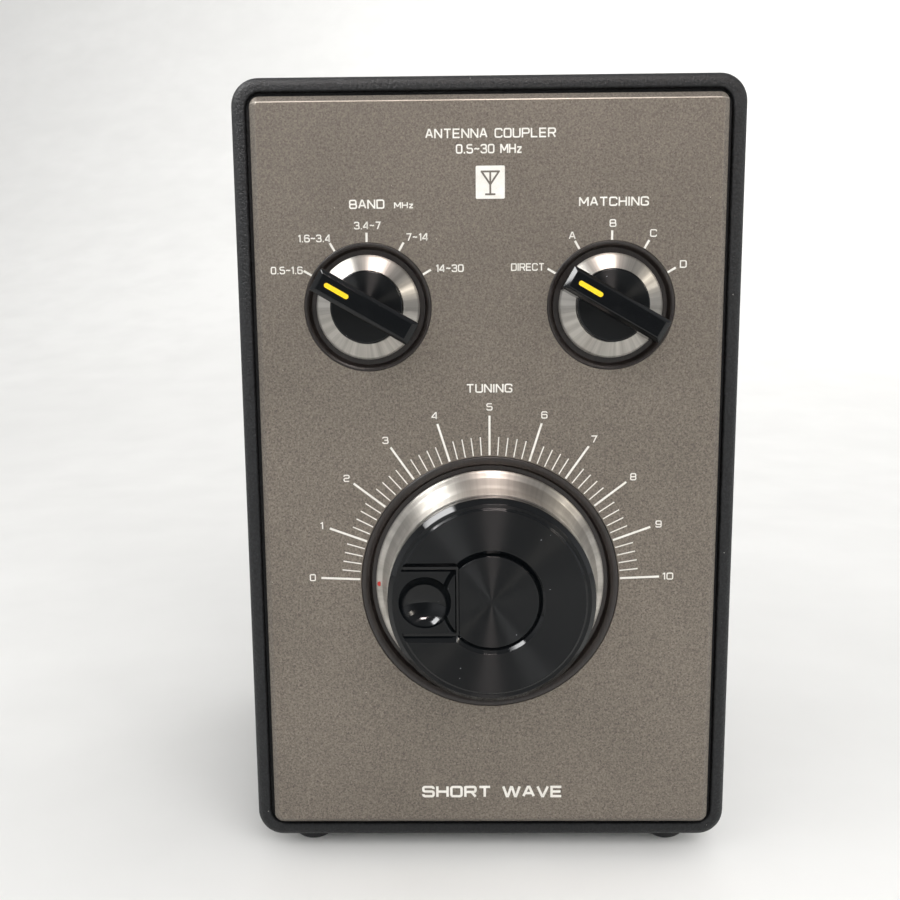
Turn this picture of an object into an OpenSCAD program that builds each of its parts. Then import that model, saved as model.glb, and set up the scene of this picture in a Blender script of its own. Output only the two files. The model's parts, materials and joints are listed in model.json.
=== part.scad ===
// Antenna tuner: a small upright cabinet with two selector knobs and one large
// tuning knob on its front, and sockets and terminals on its rear.
// X runs to the right seen from the front, Y to the rear and Z up.
// Depths are counted from the front edge plane of the cabinet, positive to the rear.

/* [Cabinet] */
// Width of the cabinet
case_w = 120; // [116:1:140]
// Height of the cabinet without its feet
case_h = 188; // [186:1:220]
// Depth of the cabinet from its front edge plane to its rear edge
case_d = 110; // [108:1:160]
// Radius of the cabinet's four long edges
case_corner_r = 6.5; // [6:0.5:8]
// Wall of the rear sleeve
sleeve_wall = 2; // [1.6:0.1:2.2]
// Depth at which the bezel ends and the sleeve begins
bezel_d = 12; // [11:1:14]
// Height of the rubber feet
foot_h = 5; // [4:0.5:8]
// Distance of the feet from the middle of the cabinet
foot_x = 47; // [40:1:50]

/* [Front] */
// Width of the bezel's rim
rim_w = 3.6; // [3.2:0.1:4]
// How far the bezel's rim stands in front of the edge plane
rim_forward = 2.5; // [1.5:0.1:3]
// Gap between the bezel and the front panel
panel_gap = 1.2; // [0.8:0.1:1.6]
// How far the panel's face stands in front of the edge plane
panel_forward = 5; // [4:0.5:7]
// Width of the panel's bevelled edge
panel_bevel = 1.6; // [0.8:0.1:2]
// Thickness of the panel
panel_t = 2.5; // [2.2:0.1:3]

/* [Controls] */
// Height of the tuning knob's axis above the cabinet's bottom
tuning_z = 68; // [62:1:70]
// Height of the selector knobs' axes above the cabinet's bottom
selector_z = 135; // [132:1:140]
// Distance of the selector knobs' axes from the middle
selector_x = 28.5; // [27:0.5:30]
// Diameter of the recessed dish around the tuning knob
tuning_dish_d = 62.8; // [61:0.2:64]
// Diameter of the recessed dish around a selector knob
selector_dish_d = 29.8; // [29:0.2:31]
// Height of the tuning knob above the panel
tuning_knob_h = 15.6; // [13:0.1:16]
// Height of a selector's pointer bar above the panel
pointer_h = 9.6; // [8:0.2:10]
// Length of a selector's pointer bar
pointer_l = 25.4; // [25:0.2:28]
// Width of a selector's pointer bar
pointer_w = 5.7; // [5:0.1:7]
// Angle of the pointer bars in the first position, counted from the right
pointer_angle = 150; // [120:30:180]

/* [Rear] */
// Height of the coaxial sockets above the cabinet's bottom
socket_z = 145; // [140:1:150]
// Distance of the coaxial sockets from the middle
socket_x = 26; // [22:1:28]
// Outer diameter of a coaxial socket's barrel
barrel_d = 15.875; // [15.875]
// Height of the push terminals above the cabinet's bottom
terminal_z = 99; // [92:1:102]
// Height of the ground post above the cabinet's bottom
ground_z = 57; // [40:1:70]

/* [Hidden] */
$fn = 64;

// Clearance between pieces of one body that fit together
fit = 0.1;
// Overlap of a cutting tool past the face it cuts
past = 1;

// Levels and reaches
front_reach = panel_forward + tuning_knob_h;
rear_reach = 10.5;
front_y = -(case_d + rear_reach - front_reach) / 2;
mid_z = foot_h + case_h / 2;
tune_z = foot_h + tuning_z;
select_z = foot_h + selector_z;
coax_z = foot_h + socket_z;
push_z = foot_h + terminal_z;
post_z = foot_h + ground_z;
face_d = -panel_forward;

// Front assembly
panel_inset = rim_w + panel_gap;
panel_corner_r = 2.3;
step_d = -0.9;
pad_h = tuning_knob_h - 0.4;
groove_h = tuning_knob_h - 1.05;
panel_skirt = 2.2;
bezel_inner_r = 3.6;
ledge_w = 3;
ledge_d = 2;
sub_panel_d = 8;
sheet_t = 1.5;
sub_rear_d = sub_panel_d + sheet_t;
boss_x = 47;
boss_zs = [foot_h + 12, foot_h + 100, foot_h + case_h - 12];
dish_recess = 1.8;
dish_floor = 1.5;
tuning_lip = 1.8;
selector_lip = 0.9;

// Rear assembly
lip_w = 4;
lip_t = 1.5;
rear_d = case_d - 5;
tie_x = 50;
tie_zs = [foot_h + 26, foot_h + case_h - 26];
tie_dia = 6;
screw_r = 1.45;
screw_head_r = 2.8;
screw_head_h = 2;
screw_l = 7;
drill_r = 1.6;
tap_r = 1.5;
foot_r = 6;
foot_flat_r = 3.6;
foot_bore_r = 2.6;
foot_ds = [9, case_d - 12];

// Shafts
shaft_r = 3;
shaft_hole_r = 3.06;
shaft_grip_r = 3.02;
bush_r = 4.5;
bush_front_d = 2;

// Variable capacitor
cap_front_d = 36;
cap_rear_d = 84;
cap_plate_t = 1.6;
cap_spacer_x = 18;
cap_spacer_z = 20;
vane_t = 0.7;
vane_pitch = 3.2;
vane_r = 18;
rotor_vanes = 11;
rotor_first_d = 44;
stator_first_d = rotor_first_d - vane_pitch / 2;
stator_rod_x = 21.5;
insulator_t = 3.4;

// Rotary switches
wafer_ds = [20, 31];
wafer_t = 1.6;
wafer_w = 32;
rotor_r = 7;
switch_rod_x = 12.5;
switch_end_d = 35;

// Circuit board and coils
board_d = 56;
board_t = 1.6;
board_rear_d = board_d + board_t;
board_low_z = foot_h + 107;
board_high_z = foot_h + 181;
board_x = 45;
spacer_x = 41;
spacer_zs = [board_low_z + 6, board_high_z - 6];
low_coil = [-24, foot_h + 167];
high_coil = [20, foot_h + 167];
balun_z = foot_h + 121;

// Rear fittings
flange_w = 25.4;
flange_t = 1.6;
flange_hole = 9.15;
panel_rear_d = rear_d + sheet_t;
barrel_end_d = panel_rear_d + flange_t + 11.5;
lever_x = 9.5;
lever_w = 12.4;
lever_h = 13;
lever_pivot_z = push_z - 3.8;
lever_pivot_d = 113.2;
block_end_d = panel_rear_d + 9;
stud_r = 2;
stud_end_d = case_d + rear_reach;
stud_free = 4.3;
stud_point_r = 1.6;
nut_r = 6;

// ---- Helpers -------------------------------------------------------------

// Rectangle with round corners, about the origin
module rounded_rect(w, h, r) {
    square([w - 2 * r, h], center = true);
    square([w, h - 2 * r], center = true);
    for (x = [-1, 1], y = [-1, 1])
        translate([x * (w / 2 - r), y * (h / 2 - r)]) circle(r);
}

// Outline of the cabinet's front, drawn in by an inset
module front_rect(inset, r)
    translate([0, mid_z]) rounded_rect(case_w - 2 * inset, case_h - 2 * inset, r);

// Front elevation shape, extruded from depth d0 back to depth d1
module slab(d0, d1)
    translate([0, front_y + d1, 0]) rotate([90, 0, 0]) linear_extrude(d1 - d0) children();

// Box on the front elevation about (x, z), from depth d0 back to depth d1
module block(x, z, w, h, d0, d1)
    translate([x - w / 2, front_y + d0, z - h / 2]) cube([w, d1 - d0, h]);

// Round rod from depth d0 back to depth d1
module rod(x, z, d0, d1, r)
    translate([x, front_y + d0, z]) rotate([-90, 0, 0]) cylinder(r = r, h = d1 - d0);

// Local frame on the panel's face: x right, y up, z towards the front
module at_face(x, z)
    translate([x, front_y + face_d, z]) rotate([90, 0, 0]) children();

// Piece turned about a front-to-back axis from [radius, height above the face] points
module turned(x, z, points)
    at_face(x, z) rotate_extrude() polygon(points);

// Round bar tapped at both ends
module spacer(x, z, d0, d1, r, tap_l)
    difference() {
        rod(x, z, d0, d1, r);
        rod(x, z, d0 - past, d0 + tap_l, tap_r);
        rod(x, z, d1 - tap_l, d1 + past, tap_r);
    }

// Pan head screw whose head lies on depth d; side 1 puts the head to the rear, -1 to the front
module pan_screw(x, z, d, side)
    difference() {
        translate([x, front_y + d, z]) rotate([-90 * side, 0, 0]) {
            cylinder(r = screw_head_r, h = screw_head_h);
            translate([0, 0, -screw_l]) cylinder(r = screw_r, h = screw_l);
        }
        for (turn = [0, 90])
            translate([x, front_y + d + side * screw_head_h, z]) rotate([0, turn, 0])
                cube([3.2, 2, 0.7], center = true);
    }

// ---- Cabinet -------------------------------------------------------------

module cabinet_sleeve() color("#2b2b2b")
    difference() {
        union() {
            slab(bezel_d, case_d) difference() {
                front_rect(0, case_corner_r);
                front_rect(sleeve_wall, case_corner_r - sleeve_wall);
            }
            slab(rear_d - lip_t, rear_d) difference() {
                front_rect(sleeve_wall / 2, case_corner_r - sleeve_wall);
                front_rect(sleeve_wall + lip_w, 2);
            }
        }
        for (x = [-foot_x, foot_x])
            translate([x, front_y + foot_ds[1], foot_h - past]) cylinder(r = drill_r, h = sleeve_wall + 2 * past);
    }

module front_bezel() color("#242424")
    difference() {
        union() {
            hull() for (a = [0:15:90])
                slab(-rim_forward + rim_forward * (1 - cos(a)), bezel_d)
                    front_rect(rim_forward * (1 - sin(a)), case_corner_r - rim_forward * (1 - sin(a)), $fn = 32);
            slab(bezel_d, bezel_d + 6) front_rect(sleeve_wall + fit, case_corner_r - sleeve_wall);
        }
        slab(-rim_forward - past, step_d) front_rect(rim_w, bezel_inner_r);
        slab(step_d - past, ledge_d) front_rect(panel_inset - fit, panel_corner_r + fit);
        slab(ledge_d - past, sub_panel_d) front_rect(rim_w + ledge_w, 2);
        slab(sub_panel_d, bezel_d + 6 + past) front_rect(rim_w, bezel_inner_r);
        for (x = [-foot_x, foot_x])
            translate([x, front_y + foot_ds[0], foot_h - past]) cylinder(r = drill_r, h = rim_w + 2 * past);
    }

module front_panel() color("#7d756c")
    difference() {
        union() {
            difference() {
                hull() {
                    slab(face_d, ledge_d) front_rect(panel_inset + panel_bevel, panel_corner_r - panel_bevel, $fn = 32);
                    slab(face_d + panel_bevel, ledge_d) front_rect(panel_inset, panel_corner_r, $fn = 32);
                }
                slab(face_d + panel_t, ledge_d + past) front_rect(panel_inset + panel_skirt, 1);
            }
            for (x = [-boss_x, boss_x], z = boss_zs)
                rod(x, z, face_d + panel_t - 0.5, sub_panel_d, 3.5);
        }
        rod(0, tune_z, face_d - past, 0, tuning_dish_d / 2 + fit);
        for (x = [-selector_x, selector_x])
            rod(x, select_z, face_d - past, 0, selector_dish_d / 2 + fit);
        for (x = [-boss_x, boss_x], z = boss_zs)
            rod(x, z, 1, sub_panel_d + past, tap_r);
    }

// Shallow round dish let into the panel, with a collar behind the panel
module dish(x, z, d, lip) {
    r = d / 2;
    hole_r = 4;
    floor_h = -dish_recess;
    rear_h = floor_h - dish_floor;
    collar_h = -panel_t - 0.05;
    turned(x, z, [
        [hole_r, rear_h], [r + 1.5, rear_h], [r + 1.5, collar_h], [r, collar_h], [r, 0],
        [r - lip, 0], [r - lip - 0.4, floor_h], [hole_r, floor_h]
    ]);
}

module tuning_dish() color("#2d2a28") dish(0, tune_z, tuning_dish_d, tuning_lip);

module band_dish() color("#2d2a28") dish(-selector_x, select_z, selector_dish_d, selector_lip);

module matching_dish() color("#2d2a28") dish(selector_x, select_z, selector_dish_d, selector_lip);

module sub_panel() color("#a8a8a4")
    difference() {
        slab(sub_panel_d, sub_rear_d) front_rect(rim_w + 0.2, bezel_inner_r);
        rod(0, tune_z, sub_panel_d - past, sub_rear_d + past, bush_r + fit);
        for (x = [-selector_x, selector_x])
            rod(x, select_z, sub_panel_d - past, sub_rear_d + past, bush_r + fit);
        for (x = [-boss_x, boss_x], z = boss_zs)
            rod(x, z, sub_panel_d - past, sub_rear_d + past, drill_r);
        for (x = [-tie_x, tie_x], z = tie_zs)
            rod(x, z, sub_panel_d - past, sub_rear_d + past, drill_r);
        for (x = [-cap_spacer_x, cap_spacer_x], z = [-cap_spacer_z, cap_spacer_z])
            rod(x, tune_z + z, sub_panel_d - past, sub_rear_d + past, drill_r);
    }

module tie_bars() color("#b8b8b4")
    for (x = [-tie_x, tie_x], z = tie_zs)
        spacer(x, z, sub_rear_d, rear_d, tie_dia / 2, 10);

module rear_panel() color("#2b2b2b")
    difference() {
        slab(rear_d, panel_rear_d) front_rect(sleeve_wall + 0.2, case_corner_r - sleeve_wall);
        for (x = [-tie_x, tie_x], z = tie_zs)
            rod(x, z, rear_d - past, panel_rear_d + past, drill_r);
        for (x = [-spacer_x, spacer_x], z = spacer_zs)
            rod(x, z, rear_d - past, panel_rear_d + past, drill_r);
        for (x = [-socket_x, socket_x]) {
            rod(x, coax_z, rear_d - past, panel_rear_d + past, barrel_d / 2 + fit);
            for (i = [-flange_hole, flange_hole], j = [-flange_hole, flange_hole])
                rod(x + i, coax_z + j, rear_d - past, panel_rear_d + past, drill_r);
        }
        rod(0, post_z, rear_d - past, panel_rear_d + past, stud_r + fit);
        for (x = [-lever_x, lever_x])
            rod(x, push_z, rear_d - past, panel_rear_d + past, 1.5);
    }

module chassis_screws() color("#c8c4b4") {
    for (x = [-tie_x, tie_x], z = tie_zs)
        pan_screw(x, z, sub_panel_d, -1);
    for (x = [-boss_x, boss_x], z = boss_zs)
        pan_screw(x, z, sub_rear_d, 1);
    for (x = [-cap_spacer_x, cap_spacer_x], z = [-cap_spacer_z, cap_spacer_z]) {
        pan_screw(x, tune_z + z, sub_panel_d, -1);
        pan_screw(x, tune_z + z, cap_front_d + cap_plate_t, 1);
    }
}

module rear_screws() color("#c8c8c8") {
    for (x = [-tie_x, tie_x], z = tie_zs)
        pan_screw(x, z, panel_rear_d, 1);
    for (x = [-spacer_x, spacer_x], z = spacer_zs)
        pan_screw(x, z, panel_rear_d, 1);
    for (x = [-socket_x, socket_x], i = [-flange_hole, flange_hole], j = [-flange_hole, flange_hole])
        pan_screw(x + i, coax_z + j, panel_rear_d + flange_t, 1);
}

// Domed foot, recessed below for its screw's head
module feet() color("#1c1c1c")
    for (x = [-foot_x, foot_x], d = foot_ds)
        translate([x, front_y + d, 0]) rotate_extrude() polygon(concat(
            [[drill_r, foot_h], [drill_r, 2.6], [foot_bore_r, 2.6], [foot_bore_r, 0], [foot_flat_r, 0]],
            [for (a = [15:15:90]) [
                foot_flat_r + (foot_r - foot_flat_r) * sin(a),
                (foot_h - 1) * (1 - cos(a))
            ]],
            [[foot_r, foot_h]]
        ));

module foot_screws() color("#b8b8b8")
    for (x = [-foot_x, foot_x], d = foot_ds)
        translate([x, front_y + d, 0.8]) {
            cylinder(r = 2.5, h = 1.8);
            cylinder(r = screw_r, h = foot_h + 2.4);
        }

// ---- Front bushings ------------------------------------------------------

module tuning_bushing() color("#c9a85a")
    difference() {
        union() {
            rod(0, tune_z, bush_front_d, sub_rear_d + past, bush_r);
            rod(0, tune_z, sub_rear_d, sub_rear_d + 3, 7);
        }
        rod(0, tune_z, 0, 20, shaft_hole_r);
    }

module panel_nuts() color("#cfcfca")
    for (p = [[0, tune_z], [-selector_x, select_z], [selector_x, select_z]])
        difference() {
            translate([p[0], front_y + sub_panel_d - 2.4, p[1]]) rotate([-90, 0, 0]) cylinder(r = 7, h = 2.4, $fn = 6);
            rod(p[0], p[1], 0, 20, bush_r + 0.05);
        }

// ---- Variable capacitor --------------------------------------------------

module capacitor_frame() color("#c4c4be")
    difference() {
        union() {
            block(0, tune_z, 52, 48, cap_front_d, cap_front_d + cap_plate_t);
            block(0, tune_z, 52, 48, cap_rear_d, cap_rear_d + cap_plate_t);
            for (x = [-24, 24])
                block(x, tune_z - 21.5, 4, 5, cap_front_d, cap_rear_d + cap_plate_t);
        }
        rod(0, tune_z, 0, case_d, shaft_hole_r);
        for (x = [-cap_spacer_x, cap_spacer_x], z = [-cap_spacer_z, cap_spacer_z])
            rod(x, tune_z + z, cap_front_d - past, cap_front_d + cap_plate_t + past, drill_r);
    }

module capacitor_spacers() color("#c9a85a")
    for (x = [-cap_spacer_x, cap_spacer_x], z = [-cap_spacer_z, cap_spacer_z])
        spacer(x, tune_z + z, sub_rear_d, cap_front_d, 3, 9);

module capacitor_insulators() color("#efe9dc")
    for (d = [cap_front_d + cap_plate_t, cap_rear_d - insulator_t])
        block(0, tune_z + 7.5, 50, 6, d, d + insulator_t);

module capacitor_stator() color("#d4d4d0") {
    for (k = [0:rotor_vanes])
        slab(stator_first_d + k * vane_pitch, stator_first_d + k * vane_pitch + vane_t)
            translate([0, tune_z]) difference() {
                translate([-24, 3]) square([48, 17]);
                circle(7);
            }
    for (x = [-stator_rod_x, stator_rod_x])
        rod(x, tune_z + 7.5, cap_front_d + cap_plate_t + insulator_t, cap_rear_d - insulator_t, 1.5);
}

module capacitor_rotor() color("#dcdcd8") {
    rod(0, tune_z, 30, cap_rear_d + 4, shaft_r);
    rod(0, tune_z, 42, 79, 5);
    for (k = [0:rotor_vanes - 1])
        slab(rotor_first_d + k * vane_pitch, rotor_first_d + k * vane_pitch + vane_t)
            translate([0, tune_z]) intersection() {
                circle(vane_r);
                translate([-vane_r, 0]) square([2 * vane_r, vane_r]);
            }
}

module tuning_shaft() color("#c0c0bc") rod(0, tune_z, face_d - 4.8, 27, shaft_r);

module shaft_coupling() color("#e8e2cf")
    difference() {
        rod(0, tune_z, 20, 34, 7);
        rod(0, tune_z, 20 - past, 34 + past, shaft_grip_r);
    }

// ---- Rotary switches -----------------------------------------------------

module switch_frame(x)
    difference() {
        union() {
            block(x, select_z, 30, 30, sub_rear_d, sub_rear_d + 1.2);
            rod(x, select_z, bush_front_d, sub_rear_d + 1, bush_r);
        }
        rod(x, select_z, 0, 20, shaft_hole_r);
        for (side = [-1, 1])
            rod(x + side * switch_rod_x, select_z, sub_rear_d - past, sub_rear_d + 3, 1.25);
    }

module band_switch_frame() color("#bdb9a8") switch_frame(-selector_x);

module matching_switch_frame() color("#bdb9a8") switch_frame(selector_x);

module switch_wafers(x)
    for (d = wafer_ds)
        difference() {
            block(x, select_z, wafer_w, wafer_w, d, d + wafer_t);
            rod(x, select_z, d - past, d + wafer_t + past, rotor_r + 0.4);
            for (side = [-1, 1])
                rod(x + side * switch_rod_x, select_z, d - past, d + wafer_t + past, 1.25);
        }

module band_switch_wafers() color("#6b4a2b") switch_wafers(-selector_x);

module matching_switch_wafers() color("#6b4a2b") switch_wafers(selector_x);

module switch_rods() color("#c8c8c4")
    for (x = [-selector_x, selector_x], side = [-1, 1])
        rod(x + side * switch_rod_x, select_z, sub_rear_d + 0.2, switch_end_d, 1.2);

module switch_lugs() color("#d8c078")
    for (x = [-selector_x, selector_x], d = wafer_ds, a = [30:30:330])
        if (a != 180)
            translate([x, front_y + d + wafer_t, select_z]) rotate([0, a, 0])
                translate([9, 0, -0.8]) cube([8.5, 0.4, 1.6]);

module switch_shaft(x) rod(x, select_z, face_d - 3.1, 37, shaft_r);

module band_shaft() color("#c0c0bc") switch_shaft(-selector_x);

module matching_shaft() color("#c0c0bc") switch_shaft(selector_x);

module switch_rotor(x)
    for (d = wafer_ds)
        difference() {
            rod(x, select_z, d, d + wafer_t, rotor_r);
            rod(x, select_z, d - past, d + wafer_t + past, shaft_grip_r);
        }

module band_switch_rotor() color("#d8c078") switch_rotor(-selector_x);

module matching_switch_rotor() color("#d8c078") switch_rotor(selector_x);

// ---- Circuit board, coils and balun --------------------------------------

module circuit_board() color("#8a6b3a")
    difference() {
        block(0, (board_low_z + board_high_z) / 2, 2 * board_x, board_high_z - board_low_z, board_d, board_rear_d);
        for (x = [-spacer_x, spacer_x], z = spacer_zs)
            rod(x, z, board_d - past, board_rear_d + past, drill_r);
    }

module board_spacers() color("#b8b8b4")
    for (x = [-spacer_x, spacer_x], z = spacer_zs)
        spacer(x, z, board_rear_d, rear_d, 3, 10);

module board_capacitors() color("#9c5a2a")
    for (i = [-3:3])
        block(i * 11, board_low_z + 62, 8, 11, board_d - 4, board_d);

module coil_form(p, r, l)
    difference() {
        rod(p[0], p[1], board_rear_d, board_rear_d + l, r);
        rod(p[0], p[1], board_rear_d - past, board_rear_d + l + past, r - 1.2);
    }

module coil_forms() color("#e6dcc4") {
    coil_form(low_coil, 11, 31);
    coil_form(high_coil, 8, 25);
}

// Close turns of wire round a former
module coil_winding(p, r, wire_r, pitch, turns)
    for (k = [0:turns - 1])
        translate([p[0], front_y + board_rear_d + 3 + k * pitch, p[1]]) rotate([90, 0, 0])
            rotate_extrude() translate([r + wire_r + 0.05, 0]) circle(wire_r, $fn = 16);

module low_coil_winding() color("#b5692e") coil_winding(low_coil, 11, 0.45, 1.05, 24);

module high_coil_winding() color("#b5692e") coil_winding(high_coil, 8, 0.7, 2.2, 9);

module balun_core() color("#3b3b3b")
    difference() {
        rod(0, balun_z, board_rear_d + 1.2, board_rear_d + 11.2, 13);
        rod(0, balun_z, board_rear_d, board_rear_d + 12, 8);
    }

module balun_winding() color("#b5692e")
    for (a = [0:24:336])
        translate([0, front_y + board_rear_d, balun_z]) rotate([0, a, 0]) translate([7, 0.2, -0.4])
            difference() {
                cube([7, 12, 0.8]);
                translate([0.8, 0.8, -1]) cube([5.4, 10.4, 3]);
            }

module internal_leads() color("#a33") {
    for (x = [-socket_x, socket_x])
        rod(x, coax_z, board_rear_d, rear_d - 9, 0.6);
    for (x = [-15, 15])
        translate([x, front_y + board_d - 0.5, tune_z + 20]) cylinder(r = 0.4, h = board_low_z - tune_z - 16);
    for (x = [-selector_x, selector_x], z = [-14, 14])
        rod(x, select_z + z, wafer_ds[1] + wafer_t + 0.4, board_d, 0.4);
}

// ---- Rear fittings -------------------------------------------------------

module socket_shells() color("#d0d0ce")
    for (x = [-socket_x, socket_x])
        difference() {
            union() {
                block(x, coax_z, flange_w, flange_w, panel_rear_d, panel_rear_d + flange_t);
                rod(x, coax_z, rear_d - 2, barrel_end_d, barrel_d / 2);
            }
            rod(x, coax_z, rear_d - 2 - past, barrel_end_d + past, 5.9);
            for (i = [-flange_hole, flange_hole], j = [-flange_hole, flange_hole])
                rod(x + i, coax_z + j, panel_rear_d - past, panel_rear_d + flange_t + past, drill_r);
        }

module socket_insulators() color("#e9e4d6")
    for (x = [-socket_x, socket_x])
        difference() {
            rod(x, coax_z, rear_d - 4, barrel_end_d - 2, 5.85);
            rod(x, coax_z, rear_d - 5, barrel_end_d, 2.9);
        }

module socket_contacts() color("#d9c27a")
    for (x = [-socket_x, socket_x])
        difference() {
            union() {
                rod(x, coax_z, rear_d - 2, barrel_end_d - 2, 2.85);
                rod(x, coax_z, rear_d - 9, rear_d - 1, 1.2);
            }
            rod(x, coax_z, barrel_end_d - 12, barrel_end_d, 2.05);
        }

module terminal_block() color("#1e1e1e")
    difference() {
        block(0, push_z, 40, 26, panel_rear_d, block_end_d);
        for (x = [-lever_x, lever_x]) {
            block(x, push_z + 1, 13, 14, panel_rear_d + 1, block_end_d + past);
            translate([x - 8, front_y + lever_pivot_d, lever_pivot_z]) rotate([0, 90, 0]) cylinder(r = 1.1, h = 16);
            rod(x, push_z - 9.5, block_end_d - 6.5, block_end_d + past, 1.3);
        }
    }

module terminal_springs() color("#d8d4c0")
    for (x = [-lever_x, lever_x])
        block(x, push_z + 2, 8, 11, panel_rear_d + 1, panel_rear_d + 1.5);

// Push lever with its two pivot stubs
module terminal_lever(x) {
    block(x, push_z + 1, lever_w, lever_h, block_end_d - 3.5, block_end_d - 0.5);
    translate([x - lever_w / 2 - 1.2, front_y + lever_pivot_d, lever_pivot_z])
        rotate([0, 90, 0]) cylinder(r = 1, h = lever_w + 2.4);
}

module terminal_lever_red() color("#a8201c") terminal_lever(lever_x);

module terminal_lever_black() color("#161616") terminal_lever(-lever_x);

// Stud whose free end is a plain dog point
module ground_post() color("#c9a85a") {
    rod(0, post_z, rear_d - 6, stud_end_d - stud_free, stud_r);
    rod(0, post_z, rear_d, stud_end_d, stud_point_r);
    translate([0, front_y + panel_rear_d, post_z]) rotate([-90, 0, 0]) cylinder(r = 5, h = 2, $fn = 6);
    translate([0, front_y + rear_d - 2.5, post_z]) rotate([-90, 0, 0]) cylinder(r = 4, h = 2.5, $fn = 6);
}

module ground_washer() color("#d8d4c0")
    difference() {
        rod(0, post_z, panel_rear_d + 2.3, panel_rear_d + 3.1, 5);
        rod(0, post_z, panel_rear_d, stud_end_d, stud_r + fit);
    }

module thumb_nut() color("#c9a85a")
    difference() {
        rod(0, post_z, panel_rear_d + 3.4, panel_rear_d + 9.4, nut_r);
        rod(0, post_z, panel_rear_d, stud_end_d + past, stud_r + fit);
        for (a = [0:20:340])
            rod(nut_r * cos(a), post_z + nut_r * sin(a), panel_rear_d, stud_end_d, 0.45);
    }

// ---- Tuning knob ---------------------------------------------------------

module tuning_skirt() color("#c9c7c2")
    difference() {
        turned(0, tune_z, [
            [shaft_grip_r, -1], [7.5, -1], [7.5, 3.8], [22.9, 3.8], [23.6, 3], [25.4, -1.3],
            [27.95, -1.3], [27.95, -0.8], [27.6, -0.45], [26.3, 0], [25, 3.1], [24.3, 4.2],
            [24.3, 10.6], [22.7, 10.6], [22.7, 5.2], [shaft_grip_r, 5.2]
        ]);
        at_face(-27, tune_z) translate([0, 0, -0.9]) cylinder(r = 0.5, h = 3);
    }

module tuning_index_dot() color("#c0281f")
    at_face(-27, tune_z) translate([0, 0, -0.9]) cylinder(r = 0.5, h = 0.7);

// Cap with a bevelled rim, a raised face, and a grooved centre and finger pad with a dimple
module tuning_cap() color("#161616")
    difference() {
        turned(0, tune_z, [
            [0, 5.4], [22.5, 5.4], [22.5, 10.7], [24, 10.7], [24, tuning_knob_h - 1.6],
            [22.8, pad_h], [22.1, pad_h], [21.5, tuning_knob_h], [12.25, tuning_knob_h],
            [11.2, groove_h], [10.75, pad_h], [0, pad_h - 0.3]
        ]);
        at_face(0, tune_z) intersection() {
            union() {
                translate([-26, -8.8, pad_h]) cube([17.7, 17.6, 4]);
                for (y = [-8.8, 7.5]) translate([-26, y, groove_h]) cube([17.7, 1.3, 4]);
                translate([-9.3, -8.8, groove_h]) cube([1, 17.6, 4]);
            }
            translate([0, 0, 5]) cylinder(r = 22.1, h = 12);
        }
        at_face(-15.3, tune_z) translate([0, 0, pad_h + 3.9]) sphere(7.2);
    }

// ---- Selector knobs ------------------------------------------------------

ring_points = [
    [8.5, -1.2], [12.2, -1.2], [12.2, -0.5], [11.7, 0.1], [8.6, 2], [8.5, 2]
];

// Bar with sloping sides and ends
module pointer_bar(low_h) {
    slope = 1.2;
    intersection() {
        rotate([90, 0, 0]) translate([0, 0, -pointer_w]) linear_extrude(2 * pointer_w) polygon([
            [-pointer_l / 2, low_h], [pointer_l / 2, low_h], [pointer_l / 2, pointer_h - slope],
            [pointer_l / 2 - slope, pointer_h], [-pointer_l / 2 + slope, pointer_h],
            [-pointer_l / 2, pointer_h - slope]
        ]);
        rotate([90, 0, 90]) translate([0, 0, -pointer_l]) linear_extrude(2 * pointer_l) polygon([
            [-pointer_w / 2, low_h], [pointer_w / 2, low_h], [pointer_w / 2, pointer_h - slope],
            [pointer_w / 2 - slope, pointer_h], [-pointer_w / 2 + slope, pointer_h],
            [-pointer_w / 2, pointer_h - slope]
        ]);
    }
}

module inlay_slot(h0, h1)
    translate([4.5, 0, h0]) linear_extrude(h1 - h0) {
        square([5, 1.15]);
        translate([0, 0.575]) circle(0.575);
        translate([5, 0.575]) circle(0.575);
    }

module selector_knob(x)
    difference() {
        union() {
            turned(x, select_z, [[0, -1.2], [8.4, -1.2], [8.4, 3.7], [8.1, 4], [0, 4.4]]);
            at_face(x, select_z) rotate([0, 0, pointer_angle]) pointer_bar(1.2);
        }
        turned(x, select_z, [[8.45, -2], [12.4, -2], [12.4, 0.3], [8.7, 2.5], [8.45, 2.5]]);
        at_face(x, select_z) translate([0, 0, -2]) cylinder(r = shaft_grip_r, h = 5.2);
        at_face(x, select_z) rotate([0, 0, pointer_angle])
            translate([0, -0.575, 0]) inlay_slot(pointer_h - 0.4, pointer_h + 1);
    }

module selector_inlay(x)
    at_face(x, select_z) rotate([0, 0, pointer_angle])
        translate([0, -0.575, 0]) inlay_slot(pointer_h - 0.4, pointer_h + 0.02);

module band_knob() color("#161616") selector_knob(-selector_x);

module matching_knob() color("#161616") selector_knob(selector_x);

module band_ring() color("#c9c7c2") turned(-selector_x, select_z, ring_points);

module matching_ring() color("#c9c7c2") turned(selector_x, select_z, ring_points);

module band_inlay() color("#e8c020") selector_inlay(-selector_x);

module matching_inlay() color("#e8c020") selector_inlay(selector_x);

// ---- Nodes ---------------------------------------------------------------

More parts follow.
